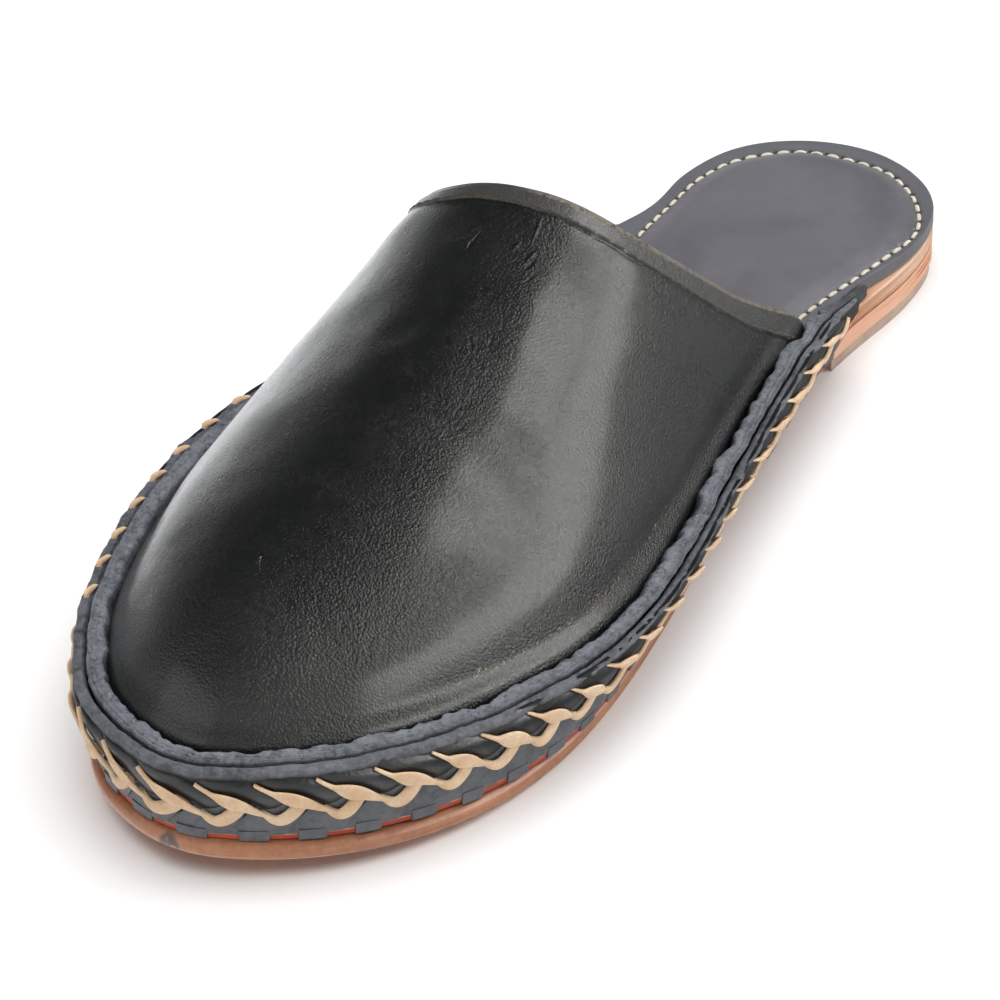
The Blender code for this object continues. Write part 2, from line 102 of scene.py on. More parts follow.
# stitch line of the heel seat, mm
SEAT = ((-40, -22.6), (-55, -22.8), (-66, -23.2), (-74.1, -23.9), (-82.1, -24.7), (-90.9, -25.2),
        (-98, -25.6), (-104.9, -25.5), (-113.3, -23.6), (-119.1, -19.9), (-123.8, -14.9), (-126.8, -8.5),
        (-127.9, -0.8), (-127.6, 5.7), (-125.4, 12.1), (-120.9, 18.4), (-114.8, 23.2), (-109.4, 25.6),
        (-104.4, 26.1), (-99.9, 25.6), (-93.7, 24.8), (-84.8, 23.6), (-78, 22.7), (-70.5, 22), (-62, 21.5),
        (-52, 21.2), (-40, 21))
SHARP = math.radians(50)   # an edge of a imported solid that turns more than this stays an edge


def set_camera():
    cam = bpy.data.objects.new("camera", bpy.data.cameras.new("camera"))
    bpy.context.scene.collection.objects.link(cam)
    level = (LEVEL_AIM - EYE).to_track_quat("-Z", "Y")
    turn = (LEVEL_AIM - EYE).rotation_difference(AIM - EYE)
    cam.rotation_mode = "QUATERNION"
    cam.rotation_quaternion = turn @ level
    cam.location = EYE
    cam.data.lens = LENS
    cam.data.sensor_width = SENSOR
    cam.data.clip_start = 0.01
    bpy.context.scene.camera = cam


set_camera()


def rgb(code):
    """Linear colour of a #rrggbb code."""
    out = []
    for i in (1, 3, 5):
        c = int(code[i:i + 2], 16) / 255
        out.append(c / 12.92 if c <= 0.04045 else ((c + 0.055) / 1.055) ** 2.4)
    return (*out, 1.0)


class Tree:
    """Short way to place and link shader nodes."""

    def __init__(self, tree):
        self.tree = tree

    def add(self, kind, inputs=None, **props):
        node = self.tree.nodes.new("ShaderNode" + kind)
        for key, value in props.items():
            setattr(node, key, value)
        for key, value in (inputs or {}).items():
            self.put(node.inputs[key], value)
        return node

    def put(self, socket, value):
        if isinstance(value, bpy.types.NodeSocket):
            self.tree.links.new(value, socket)
        else:
            socket.default_value = value

    def math(self, operation, a, b=0.0, c=0.0, clamp=False):
        return self.add("Math", {0: a, 1: b, 2: c}, operation=operation, use_clamp=clamp).outputs[0]

    def times(self, value, *others):
        """Product of all its values."""
        for other in others:
            value = self.math("MULTIPLY", value, other)
        return value

    def ramp(self, value, low, high, to_low=0.0, to_high=1.0):
        """Smooth step of a value from one level to another."""
        return self.add("MapRange", {"Value": value, "From Min": low, "From Max": high, "To Min": to_low,
                                     "To Max": to_high}, interpolation_type="SMOOTHSTEP").outputs[0]

    def line(self, value, at, width):
        """1 on a line where the value equals at, falling to 0 a width away."""
        off = self.math("ABSOLUTE", self.math("SUBTRACT", value, at))
        return self.ramp(off, 0.0, width, 1.0, 0.0)

    def mix(self, factor, a, b):
        node = self.add("Mix", data_type="RGBA")
        for i, value in ((0, factor), (6, a), (7, b)):
            self.put(node.inputs[i], value)
        return node.outputs[2]

    def noise(self, where, scale, detail=3.0, rough=0.55, distortion=0.0):
        return self.add("TexNoise", {"Vector": where, "Scale": scale, "Detail": detail, "Roughness": rough,
                                     "Distortion": distortion}).outputs["Fac"]

    def attribute(self, name):
        return self.add("Attribute", attribute_name=name).outputs["Fac"]

    def bump(self, height, strength, distance, normal=None):
        inputs = {"Height": height, "Strength": strength, "Distance": distance}
        if normal is not None:
            inputs["Normal"] = normal
        return self.add("Bump", inputs).outputs[0]


def group(name, inputs, outputs, build):
    """A shared effect: named inputs with their defaults, named value outputs."""
    tree = bpy.data.node_groups.new(name, "ShaderNodeTree")
    tree.interface.new_socket("Vector", in_out="INPUT", socket_type="NodeSocketVector")
    for key, value in inputs.items():
        kind = "NodeSocketVector" if isinstance(value, tuple) else "NodeSocketFloat"
        tree.interface.new_socket(key, in_out="INPUT", socket_type=kind).default_value = value
    for key in outputs:
        tree.interface.new_socket(key, in_out="OUTPUT", socket_type="NodeSocketFloat")
    t = Tree(tree)
    source, sink = tree.nodes.new("NodeGroupInput"), tree.nodes.new("NodeGroupOutput")
    for key, value in build(t, source.outputs).items():
        t.put(sink.inputs[key], value)
    return tree


def build_grain(t, given):
    """Pebbled leather grain with finer pores between the pebbles."""
    warp = t.add("TexNoise", {"Vector": given["Vector"], "Scale": 260.0, "Detail": 2.0}).outputs["Color"]
    where = t.add("VectorMath", {0: given["Vector"], 1: t.add(
        "VectorMath", {0: warp, "Scale": 0.0005}, operation="SCALE").outputs[0]}, operation="ADD").outputs[0]
    cells = t.add("TexVoronoi", {"Vector": where, "Scale": given["Cells"]}, feature="F1").outputs["Distance"]
    fine = t.noise(given["Vector"], t.times(given["Cells"], 2.3), 3.0)
    return {"Height": t.math("ADD", t.times(t.math("SUBTRACT", 1.0, cells), 0.6), t.times(fine, 0.5))}


def build_mottle(t, given):
    """Slow and quick variation, each from 0 to 1."""
    slow = t.noise(given["Vector"], given["Slow"], 3.0, 0.6, 0.4)
    quick = t.noise(given["Vector"], given["Quick"], 5.0, 0.65)
    return {"Slow": t.ramp(slow, 0.3, 0.7), "Quick": t.ramp(quick, 0.28, 0.72)}


def build_fibres(t, given):
    """Matted fibres of a cut or flesh side."""
    long = t.add("Mapping", {"Vector": given["Vector"], "Scale": (1.0, 1.0, 2.6)}).outputs[0]
    a = t.noise(long, given["Scale"], 6.0, 0.7, 1.2)
    b = t.noise(given["Vector"], t.times(given["Scale"], 3.1), 3.0, 0.7)
    return {"Height": t.math("ADD", t.times(a, 0.7), t.times(b, 0.3))}


def build_crease(t, given):
    """A short straight crease between two points, thinner at its ends."""
    def vector(operation, a, b, out=0):
        return t.add("VectorMath", {0: a, 1: b}, operation=operation).outputs[out]
    off = vector("SUBTRACT", given["Vector"], given["From"])
    run = vector("SUBTRACT", given["To"], given["From"])
    length = vector("DOT_PRODUCT", run, run, 1)
    share = t.math("DIVIDE", vector("DOT_PRODUCT", off, run, 1), length, clamp=True)
    foot = t.add("VectorMath", {0: run, "Scale": share}, operation="SCALE").outputs[0]
    from_middle = t.math("ABSOLUTE", t.math("SUBTRACT", t.times(share, 2.0), 1.0))
    wide = t.times(given["Width"], t.math("SUBTRACT", 1.0, t.math("POWER", from_middle, 2.0)))
    wide = t.math("MAXIMUM", wide, t.times(given["Width"], 0.35))
    away = t.math("DIVIDE", vector("DISTANCE", off, foot, 1), wide)
    return {"Mask": t.ramp(away, 0.0, 1.0, 1.0, 0.0)}


GRAIN = group("leather grain", {"Cells": 1500.0}, ["Height"], build_grain)
MOTTLE = group("mottle", {"Slow": 22.0, "Quick": 240.0}, ["Slow", "Quick"], build_mottle)
FIBRES = group("leather fibres", {"Scale": 700.0}, ["Height"], build_fibres)
CREASE = group("crease", {"From": (0.0, 0.0, 0.0), "To": (0.01, 0.0, 0.0), "Width": 0.001}, ["Mask"],
               build_crease)

# sharp little creases of the upper, seen from above, mm: from, to, half width, height (below 0 for a groove)
CREASES = (
    ((20.4, -3.9), (16.8, -0.3), 1.1, 0.6), ((21.4, -0.3), (17.8, 0.6), 0.7, -0.9),
    ((18.6, 8.2), (16.3, 8.7), 0.7, 0.7), ((19.8, 11.5), (16.0, 12.1), 0.7, 1.0),
    ((20.8, 12.2), (17.0, 12.8), 0.7, -1.0), ((22.8, 13.5), (19.7, 14.3), 0.5, -0.7),
    ((15.8, 10.7), (9.5, 9.4), 0.6, 0.5), ((37.5, 10.5), (40.7, 13.6), 0.5, -0.6),
    ((53.6, 12.4), (56.0, 16.4), 0.5, -0.8), ((52.6, 13.3), (54.6, 17.6), 0.5, 0.6),
    ((38.1, 15.1), (35.6, 14.7), 0.5, -0.5), ((-1.6, 27.2), (-2.6, 28.3), 0.45, 0.7),
)


def finish(name, paint, roughness=0.5, **fixed):
    """A material: paint(t, where) returns what feeds the shader's sockets."""
    mat = bpy.data.materials.new(name)
    mat.use_nodes = True
    t = Tree(mat.node_tree)
    shader = mat.node_tree.nodes["Principled BSDF"]
    shader.inputs["Roughness"].default_value = roughness
    for key, value in fixed.items():
        shader.inputs[key.replace("_", " ")].default_value = value
    where = t.add("TexCoord").outputs["Object"]
    for key, value in paint(t, where).items():
        t.put(shader.inputs[key], value)
    return mat


def use(t, tree, where, **values):
    node = t.add("Group", node_tree=tree)
    t.put(node.inputs["Vector"], where)
    for key, value in values.items():
        t.put(node.inputs[key], value)
    return node.outputs


def polished_black(t, where):
    """Upper leather: fine grain, a stitched hem painted a lighter grey as a painted sheen, scuffs, a pale cut
    edge on the inner side.
    """
    m = use(t, MOTTLE, where, Slow=30.0, Quick=300.0)
    colour = t.mix(m["Slow"], rgb("#0d0e0f"), rgb("#141516"))
    colour = t.mix(t.times(m["Quick"], 0.3), colour, rgb("#1c1d1c"))
    hem, edge, rim = t.attribute("hem"), t.attribute("from_edge"), t.attribute("from_rim")
    x, y, _ = t.add("SeparateXYZ", {0: where}).outputs
    broken = t.noise(where, 700.0, 2.0)
    cut = t.times(t.ramp(edge, 0.00070, 0.00105, 1.0, 0.0), t.ramp(y, 0.0, 0.010), t.ramp(broken, 0.34, 0.46))
    colour = t.mix(t.times(cut, 0.9), colour, rgb("#b9a78d"))
    # painted sheen: the hem is painted a lighter grey than the rest of the black leather
    on_hem = t.ramp(hem, 1.08, 0.95)
    colour = t.mix(t.times(on_hem, 0.75), colour, rgb("#3f403e"))
    groove = t.times(t.line(hem, HEM_SEAM, 0.095), t.ramp(broken, 0.62, 0.52, 0.35, 1.0))
    colour = t.mix(t.times(groove, 0.8), colour, rgb("#140d09"))
    inner_side = t.times(t.ramp(y, 0.026, 0.032), t.ramp(x, 0.0, 0.02), t.ramp(x, 0.095, 0.085))
    specks = t.times(t.line(rim, 0.0056, 0.0010), t.ramp(t.noise(where, 1500.0, 2.0), 0.60, 0.68))
    colour = t.mix(t.times(specks, inner_side), colour, rgb("#a98a55"))
    worn = t.times(t.ramp(t.noise(where, 60.0, 4.0, 0.6), 0.50, 0.68),
                   t.ramp(t.noise(where, 900.0, 3.0, 0.6), 0.42, 0.62), t.ramp(x, 0.02, 0.05))
    colour = t.mix(t.times(worn, 0.3), colour, rgb("#343534"))
    folds = 0.0
    above = t.add("Mapping", {"Vector": where, "Scale": (1.0, 1.0, 0.0)}).outputs[0]
    for (x0, y0), (x1, y1), width, size in CREASES:
        one = use(t, CREASE, above, From=(x0 * MM, y0 * MM, 0.0), To=(x1 * MM, y1 * MM, 0.0),
                  Width=width * MM)
        folds = t.math("MULTIPLY_ADD", one["Mask"], size, folds)
    long = t.add("Mapping", {"Vector": where, "Scale": (0.65, 1.0, 1.0),
                             "Rotation": (0.0, 0.0, 0.5)}).outputs[0]
    puckers = t.times(t.noise(long, 780.0, 3.0, 0.6, 0.4), t.attribute("creased"))
    grain = use(t, GRAIN, where, Cells=1900.0)["Height"]
    normal = t.bump(t.math("MULTIPLY_ADD", puckers, 0.55, folds), 1.0, 0.00042)
    normal = t.bump(groove, 0.5, -0.0002, normal)
    normal = t.bump(t.noise(where, 900.0, 2.0, 0.5), 0.14, 0.00014, normal)
    normal = t.bump(grain, 1.0, 0.00027, normal)
    rough = t.math("ADD", 0.22, t.times(m["Slow"], 0.08))
    rough = t.math("ADD", rough, t.times(m["Quick"], 0.06))
    rough = t.math("ADD", rough, t.times(on_hem, 0.12))
    return {"Base Color": colour, "Roughness": rough, "Normal": normal}


def raw_edge(t, where):
    """Blue-black dyed flesh and cut edges, with painted shade where the strip lies low."""
    m = use(t, MOTTLE, where, Slow=260.0, Quick=800.0)
    colour = t.mix(m["Slow"], rgb("#494c53"), rgb("#73767e"))
    colour = t.mix(t.times(m["Quick"], 0.6), colour, rgb("#8f929a"))
    pits = t.ramp(t.noise(where, 1100.0, 3.0, 0.6), 0.56, 0.66)
    colour = t.mix(t.times(pits, 0.55), colour, rgb("#2b2c30"))
    flecks = t.ramp(t.noise(where, 1900.0, 2.0), 0.70, 0.75)
    colour = t.mix(flecks, colour, rgb("#c9c2b2"))
    x, _, _ = t.add("SeparateXYZ", {0: where}).outputs
    colour = t.mix(t.ramp(x, -0.050, -0.075, 0.0, 0.75), colour, rgb("#26272c"))
    # painted shade: darker in the low furrows of the strip's top and on its sides below the top
    colour = t.mix(t.ramp(t.attribute("up_the_rim"), 1.036, 1.010, 0.0, 0.5), colour, rgb("#26272b"))
    height = use(t, FIBRES, where, Scale=650.0)["Height"]
    return {"Base Color": colour, "Normal": t.bump(height, 0.9, 0.0007)}


def outer_edge(t, where):
    """Outer leather of the rim: a dark, pressed edge."""
    m = use(t, MOTTLE, where, Slow=90.0, Quick=600.0)
    colour = t.mix(m["Slow"], rgb("#2c2e31"), rgb("#505257"))
    colour = t.mix(t.times(m["Quick"], 0.5), colour, rgb("#80828a"))
    colour = t.mix(t.ramp(t.attribute("up_the_rim"), 0.97, 0.90), colour, rgb("#131315"))
    height = use(t, FIBRES, where, Scale=800.0)["Height"]
    return {"Base Color": colour, "Normal": t.bump(height, 0.6, 0.0004)}


def dyed_edge(t, where):
    """The sole leather's top edge between the tabs: dark orange dye, pale where it is cut."""
    m = use(t, MOTTLE, where, Slow=300.0)
    colour = t.mix(t.ramp(t.attribute("up_the_rim"), 0.045, 0.075), rgb("#9c2f12"), rgb("#d9a078"))
    colour = t.mix(t.times(m["Slow"], 0.7), colour, rgb("#b5472a"))
    return {"Base Color": colour}


def strap_black(t, where):
    m = use(t, MOTTLE, where, Slow=150.0, Quick=900.0)
    colour = t.mix(m["Slow"], rgb("#0f1011"), rgb("#191a1c"))
    colour = t.mix(t.times(m["Quick"], 0.2), colour, rgb("#2c2e30"))
    grain = use(t, GRAIN, where, Cells=1500.0)["Height"]
    rough = t.math("ADD", 0.34, t.times(m["Quick"], 0.14))
    return {"Base Color": colour, "Roughness": rough, "Normal": t.bump(grain, 0.45, 0.00014)}


def strap_grey(t, where):
    m = use(t, MOTTLE, where, Slow=130.0, Quick=800.0)
    colour = t.mix(m["Slow"], rgb("#404246"), rgb("#585a5f"))
    colour = t.mix(t.times(m["Quick"], 0.4), colour, rgb("#6f7074"))
    height = use(t, FIBRES, where, Scale=900.0)["Height"]
    return {"Base Color": colour, "Normal": t.bump(height, 0.4, 0.0003)}


def lace_tan(t, where):
    m = use(t, MOTTLE, where, Slow=220.0, Quick=1400.0)
    colour = t.mix(m["Slow"], rgb("#d2ae88"), rgb("#e2c8a8"))
    colour = t.mix(t.times(m["Quick"], 0.35), colour, rgb("#bd9470"))
    height = use(t, FIBRES, where, Scale=1500.0)["Height"]
    return {"Base Color": colour, "Normal": t.bump(height, 0.6, 0.00025)}


def footbed_black(t, where):
    """Satin footbed: a margin outside the stitch channel, and the brown holes in that channel."""
    m = use(t, MOTTLE, where, Slow=26.0, Quick=260.0)
    seat, along = t.attribute("from_seat"), t.attribute("along_seat")
    colour = t.mix(m["Slow"], rgb("#4a4a50"), rgb("#5a5a60"))
    colour = t.mix(t.times(m["Quick"], 0.25), colour, rgb("#6a6a70"))
    colour = t.mix(t.ramp(seat, -0.001, 0.0, 0.5, 0.0), colour, rgb("#55565b"))
    groove = t.line(seat, 0.0, 0.0009)
    colour = t.mix(t.times(groove, 0.6), colour, rgb("#15130f"))
    turn = t.math("FRACT", t.math("DIVIDE", along, SEAT_PITCH))
    between = t.ramp(t.math("ABSOLUTE", t.math("SUBTRACT", turn, 0.5)), 0.33, 0.41)
    hole = t.times(between, t.line(seat, 0.0, 0.0014))
    colour = t.mix(hole, colour, rgb("#3a2416"))
    grain = use(t, GRAIN, where, Cells=2100.0)["Height"]
    normal = t.bump(t.math("ADD", groove, hole), 0.6, -0.0004)
    normal = t.bump(t.noise(where, 150.0, 4.0, 0.55, 0.5), 0.14, 0.0005, normal)
    normal = t.bump(grain, 0.4, 0.00014, normal)
    rough = t.math("ADD", 0.40, t.times(m["Slow"], 0.12))
    return {"Base Color": colour, "Roughness": rough, "Normal": normal}


def sole_edge(t, where):
    """Tan sole leather: a layered edge, paler at the heel, with two smudges of dye at the toe."""
    m = use(t, MOTTLE, where, Slow=40.0, Quick=500.0)
    layers = t.add("Mapping", {"Vector": where, "Scale": (0.25, 0.25, 9.0)}).outputs[0]
    streak = t.noise(layers, 120.0, 4.0, 0.6, 0.3)
    colour = t.mix(m["Slow"], rgb("#9c6040"), rgb("#b67a54"))
    colour = t.mix(t.ramp(streak, 0.42, 0.75), colour, rgb("#874d30"))
    colour = t.mix(t.times(m["Quick"], 0.25), colour, rgb("#cb9d77"))
    pale = t.ramp(t.add("SeparateXYZ", {0: where}).outputs[0], -0.075, -0.105, 0.0, 0.75)
    colour = t.mix(t.times(pale, t.ramp(streak, 0.70, 0.40, 0.4, 1.0)), colour, rgb("#ecc9aa"))
    smudge = [t.add("VectorMath", {0: where, 1: at}, operation="DISTANCE").outputs["Value"]
              for at in ((0.1266, -0.0066, 0.006), (0.1314, 0.0063, 0.006))]
    near = t.ramp(t.math("MINIMUM", *smudge), 0.0030, 0.0022)
    colour = t.mix(t.times(near, t.ramp(m["Quick"], 0.25, 0.5), 0.85), colour, rgb("#35333a"))
    height = use(t, FIBRES, where, Scale=500.0)["Height"]
    normal = t.bump(streak, 0.35, 0.0004)
    return {"Base Color": colour, "Normal": t.bump(height, 0.3, 0.0003, normal)}


def heel_stack(t, where):
    """Stacked heel leather: pale, with orange dye at its foot, split along its layers."""
    m = use(t, MOTTLE, where, Slow=50.0)
    layers = t.add("Mapping", {"Vector": where, "Scale": (0.3, 0.3, 9.0)}).outputs[0]
    streak = t.noise(layers, 90.0, 5.0, 0.62, 0.4)
    colour = t.mix(m["Slow"], rgb("#f0cbab"), rgb("#fae8d2"))
    z = t.add("SeparateXYZ", {0: where}).outputs[2]
    colour = t.mix(t.times(t.ramp(z, 0.0115, 0.0085), 0.55), colour, rgb("#cf7748"))
    colour = t.mix(t.ramp(streak, 0.5, 0.62, 0.0, 0.6), colour, rgb("#d68f60"))
    colour = t.mix(t.ramp(streak, 0.63, 0.67), colour, rgb("#4c2413"))
    return {"Base Color": colour, "Normal": t.bump(streak, 0.5, -0.0006)}


def pale_heel(t, where):
    m = use(t, MOTTLE, where, Slow=60.0)
    layers = t.add("Mapping", {"Vector": where, "Scale": (0.4, 0.4, 8.0)}).outputs[0]
    streak = t.noise(layers, 110.0, 4.0)
    colour = t.mix(m["Slow"], rgb("#a58b7a"), rgb("#bfa896"))
    colour = t.mix(t.ramp(streak, 0.45, 0.75), colour, rgb("#8d7464"))
    height = use(t, FIBRES, where, Scale=600.0)["Height"]
    return {"Base Color": colour, "Normal": t.bump(height, 0.5, 0.0004)}


def thread(code):
    """Paints a thread of this colour, with dirt in its twist."""
    def paint(t, where):
        m = use(t, MOTTLE, where, Quick=3000.0)
        colour = t.mix(t.times(m["Quick"], 0.4), rgb(code), rgb("#6b5f4c"))
        return {"Base Color": colour, "Normal": t.bump(m["Quick"], 0.5, 0.0001)}
    return paint


BLACK = finish("polished black upper leather", polished_black, Specular_IOR_Level=0.42,
               Specular_Tint=(1.0, 1.0, 0.93, 1.0), Coat_Weight=0.35, Coat_Roughness=0.21, Coat_IOR=1.4)
RAW = finish("raw dyed edge", raw_edge, 0.95)
OUTER = finish("outer rim leather", outer_edge, 0.75)
DYED = finish("dyed sole edge", dyed_edge, 0.6)
STRAP = finish("black plait strap", strap_black)
GREY = finish("grey strap flesh side", strap_grey, 0.62)
TAN = finish("tan lace", lace_tan, 0.7)
BED = finish("black footbed leather", footbed_black, Sheen_Weight=0.2, Sheen_Roughness=0.5)
SOLE = finish("tan sole leather", sole_edge, 0.48)
STACK = finish("orange heel stack", heel_stack, 0.5)
LIFT = finish("pale heel leather", pale_heel, 0.8)
WHITE = finish("pale seat thread", thread("#e2decb"), 0.7)
BROWN = finish("dark hem thread", thread("#2a1c14"), 0.7)


def merged(node):
    """A copy of a node's mesh with its loose triangles joined up again."""
    bm = bmesh.new()
    bm.from_mesh(frame["nodes"][node].data)
    bmesh.ops.remove_doubles(bm, verts=bm.verts, dist=0.001 * MM)
    bmesh.ops.join_triangles(bm, faces=bm.faces, angle_face_threshold=math.pi, angle_shape_threshold=math.pi)
    bm.normal_update()
    return bm


def piece(name, bm, material, degrees=40):
    """An object on the shoe's one body, shaded smooth but for edges that turn more than this."""
    mesh = bpy.data.meshes.new(name)
    bm.to_mesh(mesh)
    bm.free()
    ob = bpy.data.objects.new(name, mesh)
    bpy.context.scene.collection.objects.link(ob)
    mesh.materials.clear()
    mesh.materials.append(material)
    mesh.shade_smooth()
    mesh.set_sharp_from_angle(angle=math.radians(degrees))
    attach(ob, "root")
    return ob


def attribute(ob, name, values):
    layer = ob.data.attributes.new(name, "FLOAT", "POINT")
    layer.data.foreach_set("value", np.asarray(values, np.float32))


def walk(edges):
    """The chains of points that the edges make, cut where chains meet; closed ones start foremost."""
    links = {}
    for e in edges:
        a, b = e.verts
        links.setdefault(a, []).append(b)
        links.setdefault(b, []).append(a)
    ends = [v for v in links if len(links[v]) != 2]
    chains, seen, done = [], set(), set()

    def follow(start, ahead):
        chain = [start, ahead]
        while len(links[chain[-1]]) == 2 and chain[-1] is not start:
            a, b = links[chain[-1]]
            chain.append(b if a is chain[-2] else a)
        seen.update(chain)
        done.update(((start, ahead), (chain[-1], chain[-2])))
        chains.append(np.array([v.co[:] for v in chain]))

    for start in ends:
        for ahead in links[start]:
            if (start, ahead) not in done:
                follow(start, ahead)
    while rest := [v for v in links if v not in seen]:
        start = max(rest, key=lambda v: v.co.x)
        follow(start, links[start][0])
    return chains


def smooth(x, low, high):
    t = np.clip((np.asarray(x) - low) / (high - low), 0, 1)
    return t * t * (3 - 2 * t)


def along_table(rows, at):
    x, y = zip(*rows)
    return np.interp(at, x, y)


def reach(line):
    """Length along a line at each of its points."""
    return np.r_[0, np.cumsum(np.linalg.norm(np.diff(line, axis=0), axis=1))]


def eased(line, per=6):
    """Catmull-Rom curve through the points."""
    p = np.vstack([2 * line[:1] - line[1:2], line, 2 * line[-1:] - line[-2:-1]])
    t = np.arange((len(line) - 1) * per + 1) / per
    i = np.minimum(t.astype(int), len(line) - 2)
    f = (t - i)[:, None]
    a, b, c, d = (p[i + k] for k in range(4))
    return 0.5 * (2 * b + (c - a) * f + (2 * a - 5 * b + 4 * c - d) * f ** 2
                  + (3 * b - a - 3 * c + d) * f ** 3)


def nearest(points, line):
    """Distance of each point from a line of closely set points, and the length along the line there."""
    far, at = np.empty(len(points)), np.empty(len(points))
    lengths, ahead = reach(line), np.gradient(line, axis=0)
    ahead /= np.linalg.norm(ahead, axis=1)[:, None]
    for i in range(0, len(points), 4000):
        off = points[i:i + 4000, None] - line[None]
        best = (off ** 2).sum(2).argmin(1)
        off = off[np.arange(len(best)), best]
        along = (off * ahead[best]).sum(1)
        far[i:i + 4000] = np.sqrt(np.maximum((off ** 2).sum(1) - along ** 2, 0))
        at[i:i + 4000] = lengths[best] + along
    return far, at


def medial_first(line):
    return line if line[0][1] > line[-1][1] else line[::-1]


def rim_lines():
    """Top and foot edges of the rim's inner strip, outer and inner, medial end first."""
    bm = merged("welt")

    def level(e, sign):
        """Between a flat face that looks up (1) or down (-1) and a wall, not at the rim's rear ends."""
        flat = [f for f in e.link_faces if f.normal.z * sign > 0.75]
        wall = [f for f in e.link_faces if abs(f.normal.z) < 0.7]
        return len(flat) == 1 and len(wall) == 1 and (e.verts[0].co.x > 0 or abs(wall[0].normal.x) < 0.8)

    found = {}
    for name, sign in (("top", 1), ("foot", -1)):
        chains = sorted(walk([e for e in bm.edges if level(e, sign)]), key=lambda c: reach(c)[-1])
        found["inner " + name], found["outer " + name] = (eased(medial_first(c)) for c in chains[-2:])
    bm.free()
    return found


RIM = rim_lines()
RIM_S = reach(RIM["outer top"])
RIM_LENGTH = RIM_S[-1]
RIM_I = np.arange(len(RIM_S))
SHARE = np.clip(nearest(RIM["outer top"], RIM["inner top"])[0] / WALL_T, 0, 1)


def rim_normals():
    t = np.gradient(RIM["outer top"][:, :2], axis=0)
    n = np.stack([t[:, 1], -t[:, 0]], 1)
    n /= np.linalg.norm(n, axis=1)[:, None]
    return n if n[len(n) // 2][0] > 0 else -n


RIM_N = rim_normals()


def read(columns, i):
    """Values of a table of points at fractional rows i."""
    return np.stack([np.interp(i, RIM_I, columns[:, k]) for k in range(columns.shape[1])], -1)


def rim(s, v, d):
    """Point of the rim wall: s along it from the medial end, v up it from 0 to 1, d outwards from
    the joint between its two leathers, as a share of full thickness where it thins out."""
    s, v, d = np.broadcast_arrays(s, v, d)
    i = np.interp(s, RIM_S, RIM_I)
    foot, top, n = read(RIM["outer foot"], i), read(RIM["outer top"], i), read(RIM_N, i)
    lean = np.clip(v, 0, None)[..., None] ** 1.3
    out = d * np.interp(i, RIM_I, SHARE)
    xy = foot[..., :2] + (top[..., :2] - foot[..., :2]) * lean + n * out[..., None]
    z = foot[..., 2] + (top[..., 2] - foot[..., 2]) * v
    return np.concatenate([xy, z[..., None]], -1)


def tube(stations, around):
    """A closed tube rolled from a flat grid, as a mesh to copy: its vertices' station from 0 to 1 and
    angle round it are returned beside it."""
    bm = bmesh.new()
    bmesh.ops.create_grid(bm, x_segments=stations, y_segments=around, size=0.5)
    for v in bm.verts:
        turn = (v.co.y + 0.5) * 2 * math.pi
        v.co = (v.co.x + 0.5, math.cos(turn), math.sin(turn))
    bmesh.ops.remove_doubles(bm, verts=bm.verts, dist=1e-5)
    bmesh.ops.holes_fill(bm, edges=[e for e in bm.edges if e.is_boundary], sides=0)
    bmesh.ops.recalc_face_normals(bm, faces=bm.faces)
    mesh = bpy.data.meshes.new("tube")
    bm.to_mesh(mesh)
    bm.free()
    co = np.empty(len(mesh.vertices) * 3)
    mesh.vertices.foreach_get("co", co)
    a, w, t = co.reshape(-1, 3).T
    return mesh, a, w, t


def copies(pattern, places, bm=None):
    """One bmesh with a copy of the pattern's tube for each array of places, added to bm if given."""
    if bm is None:
        bm = bmesh.new()
    for place in places:
        first = len(bm.verts)
        bm.from_mesh(pattern)
        bm.verts.ensure_lookup_table()
        for v, p in zip(bm.verts[first:], place):
            v.co = p
    bmesh.ops.recalc_face_normals(bm, faces=bm.faces)
    return bm


def ripple(s, seed, size):
    """Slow irregular wave along the rim, about -1 to 1."""
    s, seed = np.broadcast_arrays(s, seed)
    values = [noise.noise(Vector((x / size, y, 0.0))) for x, y in zip(s.flat, seed.flat)]
    return np.array(values).reshape(s.shape) * 2


# the rim's two leathers
def strip_reach():
    """How far the inner strip's lip may go on inwards before it meets the upper, all along the rim."""
    bm = merged("vamp")
    upper = BVHTree.FromBMesh(bm)
    bm.free()
    gap = np.zeros(len(RIM_S))
    for i in range(0, len(RIM_S), 3):
        p, n = rim(RIM_S[i], 1.0, -LIP), read(RIM_N, i)
        hit = upper.ray_cast(Vector(p), Vector((-n[0], -n[1], 0)))
        gap[i:i + 3] = min(hit[3], LIP_MOST) if hit[0] else 0.0
    return gap


STRIP_REACH = strip_reach()


